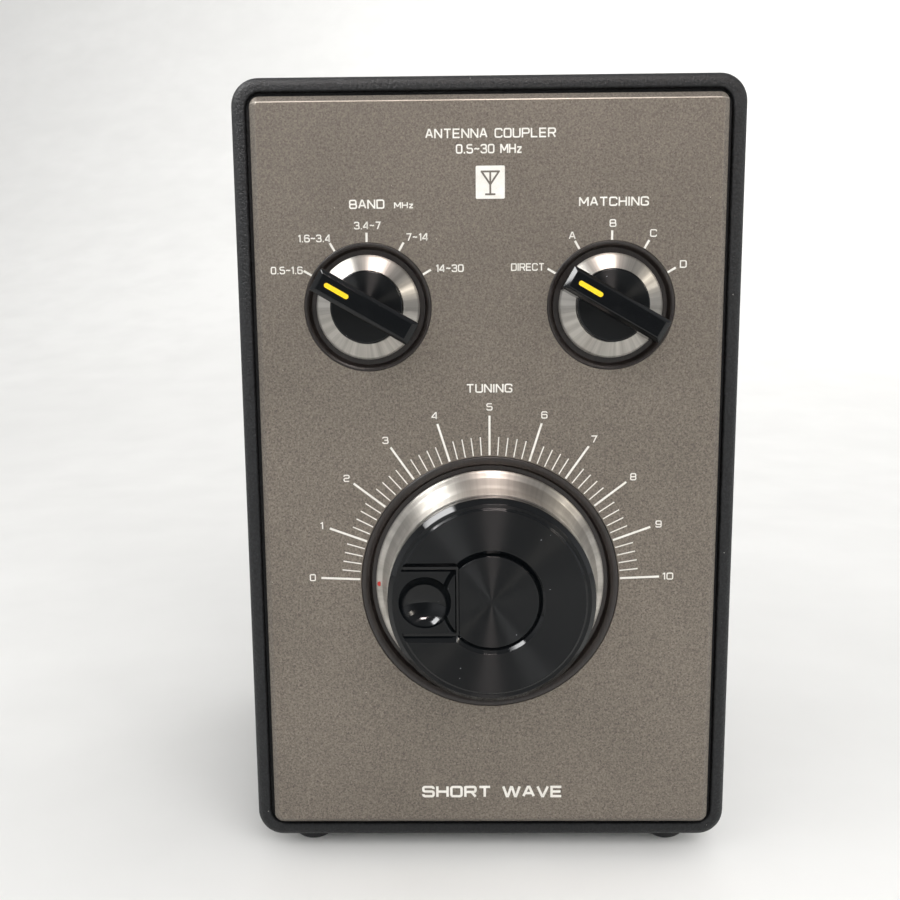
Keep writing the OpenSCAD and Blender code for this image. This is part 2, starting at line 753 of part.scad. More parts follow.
cabinet_sleeve();
front_bezel();
front_panel();
tuning_dish();
band_dish();
matching_dish();
sub_panel();
tie_bars();
rear_panel();
chassis_screws();
rear_screws();
feet();
foot_screws();
tuning_bushing();
panel_nuts();
capacitor_frame();
capacitor_spacers();
capacitor_insulators();
capacitor_stator();
band_switch_frame();
band_switch_wafers();
matching_switch_frame();
matching_switch_wafers();
switch_rods();
switch_lugs();
circuit_board();
board_spacers();
board_capacitors();
coil_forms();
low_coil_winding();
high_coil_winding();
balun_core();
balun_winding();
internal_leads();
socket_shells();
socket_insulators();
socket_contacts();
terminal_block();
terminal_springs();
ground_post();
tuning_skirt();
tuning_cap();
tuning_index_dot();
tuning_shaft();
shaft_coupling();
capacitor_rotor();
band_knob();
band_ring();
band_inlay();
band_shaft();
band_switch_rotor();
matching_knob();
matching_ring();
matching_inlay();
matching_shaft();
matching_switch_rotor();
terminal_lever_red();
terminal_lever_black();
ground_washer();
thumb_nut();
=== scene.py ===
"""Antenna tuner: an upright black cabinet, a bronze panel, two selectors and a large tuning knob."""

import json
import math

import bmesh
import bpy
from mathutils import Matrix, Vector


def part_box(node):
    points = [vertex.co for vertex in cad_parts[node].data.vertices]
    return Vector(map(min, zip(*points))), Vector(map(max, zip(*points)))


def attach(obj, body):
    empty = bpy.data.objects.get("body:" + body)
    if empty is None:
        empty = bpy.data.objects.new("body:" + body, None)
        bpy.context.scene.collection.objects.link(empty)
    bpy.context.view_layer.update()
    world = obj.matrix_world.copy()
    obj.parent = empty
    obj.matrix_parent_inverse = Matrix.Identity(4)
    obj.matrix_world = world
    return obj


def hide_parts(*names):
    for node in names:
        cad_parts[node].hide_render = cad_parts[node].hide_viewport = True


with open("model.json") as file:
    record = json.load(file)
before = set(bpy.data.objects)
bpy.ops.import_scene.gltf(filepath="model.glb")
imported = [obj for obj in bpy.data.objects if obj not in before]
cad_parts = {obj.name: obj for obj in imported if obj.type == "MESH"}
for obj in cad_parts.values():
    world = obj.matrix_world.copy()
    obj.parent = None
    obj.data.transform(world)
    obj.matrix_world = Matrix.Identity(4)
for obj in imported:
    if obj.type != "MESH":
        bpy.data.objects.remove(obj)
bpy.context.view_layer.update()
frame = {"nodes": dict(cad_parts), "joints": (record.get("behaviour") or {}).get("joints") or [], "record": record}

# ---- Places, taken from the frame ------------------------------------------

pivot = {joint["name"]: Vector(joint["pos_m"]) for joint in frame["joints"] if "pos_m" in joint}
tuning = pivot["tuning_turn"]
band = pivot["band_turn"]
matching = pivot["matching_turn"]

panel_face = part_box("front_panel")[0].y
# The bezel's rim stands this far in front of the plane that depths are drawn from
RIM_FORWARD = 2.5
edge_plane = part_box("front_bezel")[0].y + RIM_FORWARD / 1000
case_low, case_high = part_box("cabinet_sleeve")
case_middle = (case_low.z + case_high.z) / 2
case_width = (case_high.x - case_low.x) * 1000
case_height = (case_high.z - case_low.z) * 1000
case_rear = case_high.y
rear_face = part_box("rear_panel")[1].y

# Pieces are drawn in millimetres: x to the right, y up and z out of the front or the rear
TO_METRES = Matrix.Scale(0.001, 4)
OUT_OF_FRONT = Matrix.Rotation(math.radians(90), 4, "X")
OUT_OF_REAR = Matrix.Rotation(math.radians(180), 4, "Z") @ OUT_OF_FRONT


def on_face(x, z, turn=0):
    """Place on the panel's face, turned about the line out of it"""
    spin = Matrix.Rotation(math.radians(turn), 4, "Z")
    return Matrix.Translation((x, panel_face, z)) @ OUT_OF_FRONT @ spin @ TO_METRES


def on_rear():
    """Place on the rear panel's outer face, at its middle line and the floor's height"""
    return Matrix.Translation((0, rear_face, 0)) @ OUT_OF_REAR @ TO_METRES


CASE_FRONT = Matrix.Translation((0, edge_plane, case_middle)) @ OUT_OF_FRONT @ TO_METRES

# ---- Shaping tools ---------------------------------------------------------


def round_edges(bm, edges, size, segments=3):
    """Rounds edges over as a mould or a file leaves them"""
    bmesh.ops.bevel(
        bm, geom=[e for e in edges if e.is_valid], offset=size, offset_type="OFFSET",
        segments=segments, profile=0.5, affect="EDGES", clamp_overlap=True, material=-1,
    )


def round_corners(bm, corners, size, segments=4):
    """Rounds the corners of a flat outline or of a line"""
    bmesh.ops.bevel(
        bm, geom=corners, offset=size, offset_type="OFFSET", segments=segments,
        profile=0.5, affect="VERTICES", clamp_overlap=True, material=-1,
    )


def points_among(geometry):
    """The vertices that an operator hands back among its edges and faces"""
    return [v for v in geometry if isinstance(v, bmesh.types.BMVert)]


def thickened(bm, height):
    """Draws flat faces up into a solid of one height"""
    grown = bmesh.ops.extrude_face_region(bm, geom=bm.faces[:])["geom"]
    bmesh.ops.translate(bm, vec=(0, 0, height), verts=points_among(grown))
    bmesh.ops.recalc_face_normals(bm, faces=bm.faces)


def swept(bm, path):
    """Draws lines out into strips along a straight path"""
    grown = bmesh.ops.extrude_edge_only(bm, edges=bm.edges[:])["geom"]
    bmesh.ops.translate(bm, vec=path, verts=points_among(grown))


def turned(points, steps=96):
    """Lathe work about z, from (radius, height, corner rounding) points round its section"""
    bm = bmesh.new()
    corners = [bm.verts.new((radius, 0, height)) for radius, height, _ in points]
    bm.faces.new(corners)
    for size in sorted({point[2] for point in points if point[2]}):
        round_corners(bm, [v for v, point in zip(corners, points) if point[2] == size], size, 3)
    bmesh.ops.delete(bm, geom=bm.faces[:], context="FACES_ONLY")
    on_axis = [e for e in bm.edges if all(abs(v.co.x) < 1e-6 for v in e.verts)]
    bmesh.ops.delete(bm, geom=on_axis, context="EDGES")
    bmesh.ops.spin(
        bm, geom=bm.verts[:] + bm.edges[:], cent=(0, 0, 0), axis=(0, 0, 1), dvec=(0, 0, 0),
        angle=math.radians(360), steps=steps, use_merge=True, use_duplicate=False,
    )
    bmesh.ops.remove_doubles(bm, verts=bm.verts, dist=1e-4)
    bmesh.ops.recalc_face_normals(bm, faces=bm.faces)
    return bm


def rounded_plate(bm, width, height, radius, level, segments=8):
    """Flat plate with round corners, as one face"""
    corners = [
        bm.verts.new((x * width / 2, y * height / 2, level))
        for x, y in ((-1, -1), (1, -1), (1, 1), (-1, 1))
    ]
    before = set(bm.faces)
    bm.faces.new(corners)
    round_corners(bm, corners, radius, segments)
    return (set(bm.faces) - before).pop()


def skin(rings, closed=False, segments=8):
    """Skin over rounded rectangles, each (width, height, corner radius, level), with the edges
    that lie on each; a closed skin comes back to its first ring, an open one is capped"""
    bm = bmesh.new()
    plate = rounded_plate(bm, *rings[0], segments)
    loops = [plate.edges[:]]
    steps = list(zip(rings, rings[1:] + rings[:1] if closed else rings[1:]))
    for here, there in steps:
        grown = bmesh.ops.extrude_edge_only(bm, edges=loops[-1])["geom"]
        fresh = set(points_among(grown))
        for v in fresh:
            # Each point keeps its place round its corner, whose centre and radius change
            side = Vector((math.copysign(0.5, v.co.x), math.copysign(0.5, v.co.y)))
            corner = [side[i] * (here[i] - 2 * here[2]) for i in (0, 1)]
            moved = [side[i] * (there[i] - 2 * there[2]) for i in (0, 1)]
            grow = there[2] / here[2]
            v.co = (moved[0] + (v.co.x - corner[0]) * grow,
                    moved[1] + (v.co.y - corner[1]) * grow, there[3])
        loops.append([e for e in bm.edges if fresh.issuperset(e.verts)])
    if closed:
        bmesh.ops.delete(bm, geom=[plate], context="FACES_ONLY")
        bmesh.ops.remove_doubles(bm, verts=bm.verts, dist=1e-4)
        loops[0] = [e for e in loops[0] + loops[-1] if e.is_valid]
    else:
        bmesh.ops.edgeloop_fill(bm, edges=loops[-1])
    bmesh.ops.recalc_face_normals(bm, faces=bm.faces)
    return bm, loops


def as_object(name, bm):
    """Puts a drawn shape in the scene and empties the drawing"""
    mesh = bpy.data.meshes.new(name)
    bm.to_mesh(mesh)
    bm.free()
    made = bpy.data.objects.new(name, mesh)
    bpy.context.scene.collection.objects.link(made)
    return made


def settled(holder):
    """The holder's shape with its modifiers worked in"""
    bpy.context.view_layer.update()
    result = bmesh.new()
    result.from_mesh(holder.evaluated_get(bpy.context.evaluated_depsgraph_get()).to_mesh())
    bpy.data.objects.remove(holder)
    return result


def carved(solid, tools, operation="DIFFERENCE"):
    """Cuts tools out of a solid, or joins them to it"""
    holder = as_object("carving", solid)
    cutters = [as_object("cutter", tool) for tool in tools]
    for cutter in cutters:
        cut = holder.modifiers.new("cut", "BOOLEAN")
        cut.operation = operation
        cut.solver = "EXACT"
        cut.object = cutter
    result = settled(holder)
    for cutter in cutters:
        bpy.data.objects.remove(cutter)
    return result


def copies(bm, places):
    """One drawing repeated at several places"""
    drawn = bm.verts[:] + bm.edges[:] + bm.faces[:]
    for place in places[1:]:
        new = bmesh.ops.duplicate(bm, geom=drawn)["geom"]
        bmesh.ops.transform(bm, matrix=place, verts=points_among(new))
    bmesh.ops.transform(bm, matrix=places[0], verts=points_among(drawn))
    return bm


def piece(name, bm, place, finish, body, stands_for=(), sharp=32):
    """Sets a drawn shape in its place on its body, in its finish"""
    bmesh.ops.remove_doubles(bm, verts=bm.verts, dist=1e-4)
    bmesh.ops.recalc_face_normals(bm, faces=bm.faces)
    bmesh.ops.transform(bm, matrix=place, verts=bm.verts)
    made = as_object(name, bm)
    made.data.shade_smooth()
    made.data.set_sharp_from_angle(angle=math.radians(sharp))
    flats = made.modifiers.new("flat faces stay flat", "WEIGHTED_NORMAL")
    flats.keep_sharp = True
    made.data.materials.append(finish)
    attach(made, body)
    if stands_for:
        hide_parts(*stands_for)
    return made


# ---- Finishes --------------------------------------------------------------

# Width of the bevel round the front panel
PANEL_BEVEL = 1.6
# Heights over the panel between which the spun faces of the knobs lie
TUNING_SPUN = (14.8, 15.7)
SELECTOR_SPUN = (3.8, 4.5)


def colour(sheet_hex):
    """Linear colour of an sRGB hex value"""
    parts = [int(sheet_hex[i:i + 2], 16) / 255 for i in (1, 3, 5)]
    return tuple(c / 12.92 if c <= 0.04045 else ((c + 0.055) / 1.055) ** 2.4 for c in parts) + (1,)


def node(tree, kind, inputs=(), **settings):
    """Adds a node with its settings, its values and its links"""
    made = tree.nodes.new("ShaderNode" + kind)
    for name, value in settings.items():
        setattr(made, name, value)
    for socket, value in dict(inputs).items():
        if isinstance(value, bpy.types.NodeSocket):
            tree.links.new(value, made.inputs[socket])
        else:
            made.inputs[socket].default_value = value
    return made


def surface(name, values):
    """New material, its shader with plain values set, and object coordinates in millimetres"""
    made = bpy.data.materials.new(name)
    made.use_nodes = True
    tree = made.node_tree
    shader = tree.nodes["Principled BSDF"]
    for socket, value in values.items():
        shader.inputs[socket].default_value = value
    place = node(tree, "TexCoord").outputs["Object"]
    mm = node(tree, "VectorMath", {0: place, "Scale": 1000}, operation="SCALE").outputs[0]
    return made, tree, shader, mm


def mottled(name, light, dark, grain, relief, smooth, rough, **values):
    """Finish whose colour and gloss wander over its grain and whose surface rises and falls.
    Grain and relief are in millimetres."""
    made, tree, shader, mm = surface(name, {k.replace("_", " "): v for k, v in values.items()})
    fine = node(tree, "TexNoise", {"Vector": mm, "Scale": 1 / grain, "Detail": 3}).outputs["Fac"]
    wide = {"Vector": mm, "Scale": 0.12 / grain, "Detail": 2}
    broad = node(tree, "TexNoise", wide).outputs["Fac"]
    both = node(tree, "Math", {0: fine, 1: broad, 2: 0}, operation="MULTIPLY_ADD").outputs[0]
    share = node(tree, "MapRange", {0: both, 1: 0.12, 2: 0.4, 3: 0, 4: 1}).outputs[0]
    tone = node(tree, "Mix", {0: share, 6: colour(dark), 7: colour(light)},
                data_type="RGBA").outputs[2]
    tree.links.new(tone, shader.inputs["Base Color"])
    gloss = node(tree, "MapRange", {0: broad, 1: 0.3, 2: 0.7, 3: smooth, 4: rough}).outputs[0]
    tree.links.new(gloss, shader.inputs["Roughness"])
    raised = node(tree, "Bump", {"Height": fine, "Strength": 1, "Distance": relief * 0.001})
    tree.links.new(raised.outputs[0], shader.inputs["Normal"])
    return made


def specks(tree, mm, spacing, size, share):
    """Mask of small specks, some of the cells of a grid holding one"""
    cells = node(tree, "TexVoronoi", {"Vector": mm, "Scale": 1 / spacing, "Randomness": 1})
    near = node(tree, "Math", {0: cells.outputs["Distance"], 1: size / spacing},
                operation="LESS_THAN").outputs[0]
    pick = node(tree, "SeparateColor", {0: cells.outputs["Color"]}).outputs[0]
    kept = node(tree, "Math", {0: pick, 1: share}, operation="LESS_THAN").outputs[0]
    return node(tree, "Math", {0: near, 1: kept}, operation="MULTIPLY").outputs[0]


def textured_paint():
    """Texture paint, sprayed and stoved on steel: a pebble of 0.6 mm that breaks up the gloss; its colour carries
    painted shade in the pebble's hollows, lighter tops, and painted glints as pale specks
    """
    values = {"IOR": 1.5, "Specular IOR Level": 0.36}
    made, tree, shader, mm = surface("textured_black_paint", values)
    pebble = node(tree, "TexVoronoi", {"Vector": mm, "Scale": 1 / 0.6, "Smoothness": 0.8},
                  feature="SMOOTH_F1").outputs[0]
    gritty = {"Vector": mm, "Scale": 1 / 0.45, "Detail": 4, "Roughness": 0.6}
    grit = node(tree, "TexNoise", gritty).outputs["Fac"]
    height = node(tree, "Math", {0: pebble, 1: -0.6, 2: grit}, operation="MULTIPLY_ADD").outputs[0]
    # Painted shade and light: the pebble's hollows are coloured darker and its tops lighter
    peak_light_share = node(tree, "MapRange", {0: height, 1: 0.05, 2: 0.5, 3: 0, 4: 1}).outputs[0]
    tone = node(tree, "Mix", {0: peak_light_share, 6: colour("#0b0c0e"), 7: colour("#1e2022")},
                data_type="RGBA").outputs[2]
    # Painted glints: pale specks stand in for light caught by the grain
    glint_specks = specks(tree, mm, 2.4, 0.13, 0.3)
    with_painted_glints = node(tree, "Mix", {0: glint_specks, 6: tone, 7: colour("#8d8c88")}, data_type="RGBA").outputs[2]
    tree.links.new(with_painted_glints, shader.inputs["Base Color"])
    gloss = node(tree, "MapRange", {0: grit, 1: 0.3, 2: 0.7, 3: 0.42, 4: 0.62}).outputs[0]
    tree.links.new(gloss, shader.inputs["Roughness"])
    raised = node(tree, "Bump", {"Height": height, "Strength": 1, "Distance": 0.00016})
    tree.links.new(raised.outputs[0], shader.inputs["Normal"])
    return made


def bronze_paint():
    """Bronze metallic paint, sprayed: aluminium flakes in a brown lacquer give a fine glitter,
    drawn 0.3 mm across, as coarse as they need to show; a painted highlight lies as a pale broken line along the
    panel's top edge"""
    made, tree, shader, mm = surface("bronze_metallic_paint", {"Metallic": 0.5, "IOR": 1.5})
    flakes = {"Vector": mm, "Scale": 1 / 0.32, "Randomness": 1}
    flake = node(tree, "TexVoronoi", flakes).outputs["Color"]
    sparkle = node(tree, "SeparateColor", {0: flake}).outputs[1]
    grainy = {"Vector": mm, "Scale": 1 / 0.55, "Detail": 4, "Roughness": 0.7}
    grain = node(tree, "TexNoise", grainy).outputs["Fac"]
    cloud = node(tree, "TexNoise", {"Vector": mm, "Scale": 1 / 28, "Detail": 3}).outputs["Fac"]
    speckle = node(tree, "Math", {0: sparkle, 1: 0.34, 2: grain},
                   operation="MULTIPLY_ADD").outputs[0]
    share = node(tree, "MapRange", {0: speckle, 1: 0.38, 2: 0.98, 3: 0, 4: 1}).outputs[0]
    tone = node(tree, "Mix", {0: share, 6: colour("#5a524c"), 7: colour("#8b8377")},
                data_type="RGBA").outputs[2]
    clouded = node(tree, "MapRange", {0: cloud, 1: 0.3, 2: 0.7, 3: 0.93, 4: 1.05}).outputs[0]
    shaded = node(tree, "Mix", {0: 1.0, 6: tone, 7: clouded},
                  data_type="RGBA", blend_type="MULTIPLY").outputs[2]
    chips = specks(tree, mm, 4.5, 0.14, 0.35)
    chipped = node(tree, "Mix", {0: chips, 6: shaded, 7: colour("#b9b2a6")},
                   data_type="RGBA").outputs[2]
    # Painted highlight: a pale broken line where the top bevel meets the panel's face
    top_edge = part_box("front_panel")[1].z * 1000 - PANEL_BEVEL
    height = node(tree, "SeparateXYZ", {0: mm}).outputs[2]
    on_edge = node(tree, "Math", {0: height, 1: top_edge, 2: 0.16}, operation="COMPARE").outputs[0]
    edge_highlight_breakup = node(tree, "MapRange", {0: cloud, 1: 0.35, 2: 0.6, 3: 0.25, 4: 0.75}).outputs[0]
    painted_edge_highlight = node(tree, "Math", {0: on_edge, 1: edge_highlight_breakup}, operation="MULTIPLY").outputs[0]
    with_edge_highlight = node(tree, "Mix", {0: painted_edge_highlight, 6: chipped, 7: colour("#b4ada2")},
                       data_type="RGBA").outputs[2]
    tree.links.new(with_edge_highlight, shader.inputs["Base Color"])
    gloss = node(tree, "MapRange", {0: speckle, 1: 0.4, 2: 0.9, 3: 0.52, 4: 0.38}).outputs[0]
    tree.links.new(gloss, shader.inputs["Roughness"])
    raised = node(tree, "Bump", {"Height": grain, "Strength": 1, "Distance": 0.00004})
    tree.links.new(raised.outputs[0], shader.inputs["Normal"])
    return made


def round_the_axis(tree, shader, centre):
    """Points the shader's grooves round a knob's axis, and gives each spot's radius in millimetres
    and its direction from the axis"""
    place = node(tree, "TexCoord").outputs["Object"]
    arm = node(tree, "VectorMath", {0: place, 1: tuple(centre)}, operation="SUBTRACT").outputs[0]
    flat = node(tree, "VectorMath", {0: arm, 1: (1, 0, 1)}, operation="MULTIPLY").outputs[0]
    along = node(tree, "VectorMath", {0: flat, 1: (0, 1, 0)}, operation="CROSS_PRODUCT").outputs[0]
    unit = node(tree, "VectorMath", {0: along}, operation="NORMALIZE").outputs[0]
    world = node(tree, "VectorTransform", {0: unit},
                 vector_type="VECTOR", convert_from="OBJECT", convert_to="WORLD")
    tree.links.new(world.outputs[0], shader.inputs["Tangent"])
    radius = node(tree, "VectorMath", {0: flat}, operation="LENGTH").outputs["Value"]
    radius_mm = node(tree, "Math", {0: radius, 1: 1000}, operation="MULTIPLY").outputs[0]
    direction = node(tree, "VectorMath", {0: flat}, operation="NORMALIZE").outputs[0]
    return radius_mm, direction


def turned_aluminium(name, centre):
    """Aluminium faced on a lathe and clear anodised: fine rings that fan the light into rays; the metal's colour
    is also painted lighter and darker in rays round the axis, a painted reflection of that fan
    """
    values = {"Metallic": 1, "Anisotropic": 0.9, "Anisotropic Rotation": 0.25}
    made, tree, shader, mm = surface(name, values)
    radius, direction = round_the_axis(tree, shader, centre)
    depth = node(tree, "SeparateXYZ", {0: mm}).outputs[1]
    section = node(tree, "CombineXYZ", {0: radius, 1: depth, 2: 0}).outputs[0]
    cut = {"Vector": section, "Scale": 1 / 0.14, "Detail": 2}
    rings = node(tree, "TexNoise", cut).outputs["Fac"]
    # Painted reflection: colour and gloss change in sectors round the axis, standing in for the rays of light the
    # rings fan out
    fan = {"Vector": direction, "Scale": 9, "Detail": 5, "Roughness": 0.65}
    sheen_rays = node(tree, "TexNoise", fan).outputs["Fac"]
    tone = node(tree, "MapRange", {0: sheen_rays, 1: 0.3, 2: 0.7, 3: 0, 4: 1}).outputs[0]
    metal = node(tree, "Mix", {0: tone, 6: colour("#a09c96"), 7: colour("#c6c2bb")},
                 data_type="RGBA").outputs[2]
    tree.links.new(metal, shader.inputs["Base Color"])
    gloss = node(tree, "MapRange", {0: sheen_rays, 1: 0.3, 2: 0.7, 3: 0.46, 4: 0.36}).outputs[0]
    tree.links.new(gloss, shader.inputs["Roughness"])
    raised = node(tree, "Bump", {"Height": rings, "Strength": 1, "Distance": 0.00001})
    tree.links.new(raised.outputs[0], shader.inputs["Normal"])
    return made


def spun_black(name, centre, low, high):
    """Black resin moulding, polished, with its flat face between two heights spun: fine rings
    spread the light into a fan, while the bevels beside it throw sharp glints"""
    values = {"Anisotropic": 1, "Anisotropic Rotation": 0.25, "Specular IOR Level": 0.3, "IOR": 1.5}
    made, tree, shader, mm = surface(name, values)
    radius, direction = round_the_axis(tree, shader, centre)
    facing = node(tree, "SeparateXYZ", {0: node(tree, "TexCoord").outputs["Normal"]}).outputs[1]
    flat = node(tree, "Math", {0: facing, 1: -0.993}, operation="LESS_THAN").outputs[0]
    depth = node(tree, "SeparateXYZ", {0: mm}).outputs[1]
    level = panel_face * 1000 - (low + high) / 2
    face = node(tree, "Math", {0: depth, 1: level, 2: (high - low) / 2},
                operation="COMPARE").outputs[0]
    spun = node(tree, "Math", {0: flat, 1: face}, operation="MULTIPLY").outputs[0]
    glint_specks = specks(tree, mm, 2.6, 0.1, 0.3)
    tone = node(tree, "Mix", {0: glint_specks, 6: colour("#07090b"), 7: colour("#a9aab0")},
                data_type="RGBA").outputs[2]
    tree.links.new(tone, shader.inputs["Base Color"])
    smear = node(tree, "TexNoise", {"Vector": mm, "Scale": 1 / 5, "Detail": 4}).outputs["Fac"]
    polish = node(tree, "MapRange", {0: smear, 1: 0.3, 2: 0.7, 3: 0.06, 4: 0.12}).outputs[0]
    gloss = node(tree, "Mix", {0: spun, 2: polish, 3: 0.42}, data_type="FLOAT").outputs[0]
    tree.links.new(gloss, shader.inputs["Roughness"])
    outward = node(tree, "CombineXYZ", {0: radius}).outputs[0]
    rings = node(tree, "TexNoise", {"Vector": outward, "Scale": 1 / 0.2}).outputs["Fac"]
    grooves = node(tree, "Math", {0: rings, 1: spun}, operation="MULTIPLY").outputs[0]
    raised = node(tree, "Bump", {"Height": grooves, "Strength": 1, "Distance": 0.000002})
    tree.links.new(raised.outputs[0], shader.inputs["Normal"])
    return made


def moulded_dish():
    """Brown-black thermoplastic, moulded: a soft gloss with fine upright flow marks"""
    values = {"IOR": 1.5, "Specular IOR Level": 0.5}
    made, tree, shader, mm = surface("moulded_dish_plastic", values)
    stretched = node(tree, "Mapping", {"Vector": mm, "Scale": (3.2, 1, 0.25)}).outputs[0]
    flow = node(tree, "TexNoise", {"Vector": stretched, "Scale": 1, "Detail": 3}).outputs["Fac"]
    tone = node(tree, "MapRange", {0: flow, 1: 0.3, 2: 0.7, 3: 0, 4: 1}).outputs[0]
    brown = node(tree, "Mix", {0: tone, 6: colour("#1a1615"), 7: colour("#2d2724")},
                 data_type="RGBA").outputs[2]
    tree.links.new(brown, shader.inputs["Base Color"])
    gloss = node(tree, "MapRange", {0: flow, 1: 0.3, 2: 0.7, 3: 0.3, 4: 0.42}).outputs[0]
    tree.links.new(gloss, shader.inputs["Roughness"])
    raised = node(tree, "Bump", {"Height": flow, "Strength": 1, "Distance": 0.00002})
    tree.links.new(raised.outputs[0], shader.inputs["Normal"])
    return made


# name: what it is and how its surface was made, with what that gives the eye
finishes = {
    "black_case": textured_paint(),
    # Satin black paint, sprayed on sheet steel: an even low gloss with slight orange peel
    "black_plate": mottled("satin_black_paint", "#26272a", "#1a1b1d", 1.1,
                           0.01, 0.38, 0.5, IOR=1.5),
    "bronze_panel": bronze_paint(),
    "dish_plastic": moulded_dish(),
    # Zinc plated steel, passivated: pale grey with a faint yellow bloom
    "zinc_steel": mottled("zinc_plated_steel", "#c9c8c0", "#9fa09c", 2.2,
                          0.004, 0.28, 0.45, Metallic=1),
    # Nickel plate over brass, bright: warm mirror with handling marks
    "nickel": mottled("nickel_plate", "#d8d4cb", "#b9b4a8", 1.6, 0.003, 0.14, 0.28, Metallic=1),
    # Natural rubber, moulded: dry black with a chalky bloom
    "rubber": mottled("moulded_rubber", "#222325", "#141415", 0.5, 0.03, 0.65, 0.85, IOR=1.5),
    # Brass, machined: yellow with fine tool marks
    "brass": mottled("machined_brass", "#d2b26a", "#a98a45", 0.5, 0.004, 0.25, 0.4, Metallic=1),
    # Silver plate on brass, tarnishing: pale with tan patches
    "silvered_brass": mottled("silvered_brass", "#e2dccb", "#b9a77c", 1.4,
                              0.003, 0.22, 0.4, Metallic=1),
    # Steatite ceramic, fired without glaze: cream and chalky
    "steatite": mottled("steatite_ceramic", "#ece4d2", "#d8cdb6", 0.4, 0.02, 0.5, 0.7, IOR=1.6),
    # Aluminium sheet, rolled: soft grey sheen
    "vane_aluminium": mottled("rolled_aluminium", "#dcdcd9", "#bcbdbb", 0.9,
                              0.003, 0.3, 0.42, Metallic=1),
    # Phenolic paper laminate, pressed: brown with fibre flecks
    "phenolic": mottled("phenolic_laminate", "#8a5a31", "#6a411f", 0.3, 0.008, 0.35, 0.5, IOR=1.55),
    # Resin dipped mica capacitor: glossy brown with sags
    "dipped_mica": mottled("dipped_resin", "#8a3f1e", "#6b2c13", 1.5, 0.05, 0.12, 0.25, IOR=1.55),
    # Enamelled copper wire, drawn: red gold with a lacquer gloss
    "copper": mottled("enamelled_copper", "#c4743c", "#9a5226", 0.35, 0.004, 0.2, 0.35, Metallic=1),
    # Ferrite, sintered: dark grey and gritty
    "ferrite": mottled("sintered_ferrite", "#45464a", "#2e2f32", 0.3, 0.02, 0.45, 0.65, IOR=2.0),
    # Cream resin insulator, moulded: waxy, nearly even
    "socket_resin": mottled("moulded_resin", "#e6dfcc", "#d3c9b0", 0.8, 0.006, 0.3, 0.45, IOR=1.5),
    # Black thermoplastic, moulded: low gloss with a fine spark-eroded grain
    "black_plastic": mottled("black_thermoplastic", "#1f2022", "#131415", 0.35,
                             0.012, 0.35, 0.5, IOR=1.5),
    # Red thermoplastic, moulded: even colour under a soft gloss
    "red_plastic": mottled("red_thermoplastic", "#b3261d", "#951a14", 0.6,
                           0.006, 0.25, 0.38, IOR=1.5),
    "knob_aluminium": turned_aluminium("turned_aluminium_tuning", tuning),
    "knob_black": spun_black("spun_black_resin_tuning", tuning, *TUNING_SPUN),
    # Red enamel fill, brushed on: slightly uneven
    "red_paint": mottled("red_enamel", "#d8362a", "#b8241b", 0.4, 0.01, 0.3, 0.45, IOR=1.5),
    # Yellow enamel fill, run into a slot: warm yellow with brush streaks
    "yellow_paint": mottled("yellow_enamel", "#ffe028", "#fbc914", 0.5, 0.01, 0.3, 0.45, IOR=1.5),
}
# Screen-printed white ink: dense, matt, very slightly broken at its edges
white_ink = mottled("screened_white_ink", "#eeebe4", "#d9d5cc", 0.25, 0.004, 0.5, 0.65, IOR=1.45)
# Screen-printed brown ink of the badge's sign
brown_ink = mottled("screened_brown_ink", "#6f675e", "#5c544c", 0.25, 0.004, 0.5, 0.65, IOR=1.45)

for part in frame["record"]["subparts"]:
    solid = frame["nodes"][part["node"]]
    solid.data.materials.clear()
    solid.data.materials.append(finishes[part["material_slot"]])

# ---- Cabinet ---------------------------------------------------------------


def case_ring(inset, radius, depth):
    """Ring of the cabinet's outline, drawn in by an inset"""
    return (case_width - 2 * inset, case_height - 2 * inset, radius, -depth)


bezel, loops = skin([
    case_ring(0, 6.5, 11.9), case_ring(0, 6.5, -RIM_FORWARD), case_ring(3.6, 3.6, -RIM_FORWARD),
    case_ring(3.6, 3.6, -0.9), case_ring(4.7, 2.4, -0.9), case_ring(4.7, 2.4, 2),
    case_ring(6.6, 2, 2), case_ring(6.6, 2, 8), case_ring(3.6, 3.6, 8), case_ring(3.6, 3.6, 18),
    case_ring(2.1, 4.5, 18), case_ring(2.1, 4.5, 11.9),
], closed=True, segments=12)
round_edges(bezel, loops[1], 2.3, 6)
round_edges(bezel, loops[2], 0.5, 3)
round_edges(bezel, loops[0], 0.25, 2)
piece("bezel", bezel, CASE_FRONT, finishes["black_case"], "case", ["front_bezel"])

rear_edge = (case_rear - edge_plane) * 1000
sleeve, loops = skin([
    case_ring(0, 6.5, 12.1), case_ring(0, 6.5, rear_edge), case_ring(2, 4.5, rear_edge),
    case_ring(2, 4.5, 105), case_ring(6, 2, 105), case_ring(6, 2, 103.5), case_ring(2, 4.5, 103.5),
    case_ring(2, 4.5, 12.1),
], closed=True, segments=12)
round_edges(sleeve, loops[1], 1.3, 5)
round_edges(sleeve, loops[2], 0.4, 2)
round_edges(sleeve, loops[0], 0.25, 2)
piece("sleeve", sleeve, CASE_FRONT, finishes["black_case"], "case",
      ["cabinet_sleeve"])

# The feet's places: to each side of the middle, and behind the edge plane
FEET_ACROSS = (-47, 47)
FEET_BEHIND = (9, 98)
foot_spots = [(x, edge_plane * 1000 + depth) for x in FEET_ACROSS for depth in FEET_BEHIND]
foot = turned([
    (1.6, 5, 0), (1.6, 2.6, 0), (2.6, 2.6, 0.2), (2.6, 0.15, 0.3), (3.7, 0, 0.4), (5.3, 1.1, 0.9),
    (6, 3.4, 1), (6, 5, 0.2),
], 48)
copies(foot, [Matrix.Translation((x, y, 0)) for x, y in foot_spots])
piece("rubber_feet", foot, TO_METRES, finishes["rubber"], "case", ["feet"])

# ---- Panel, dishes and print -----------------------------------------------

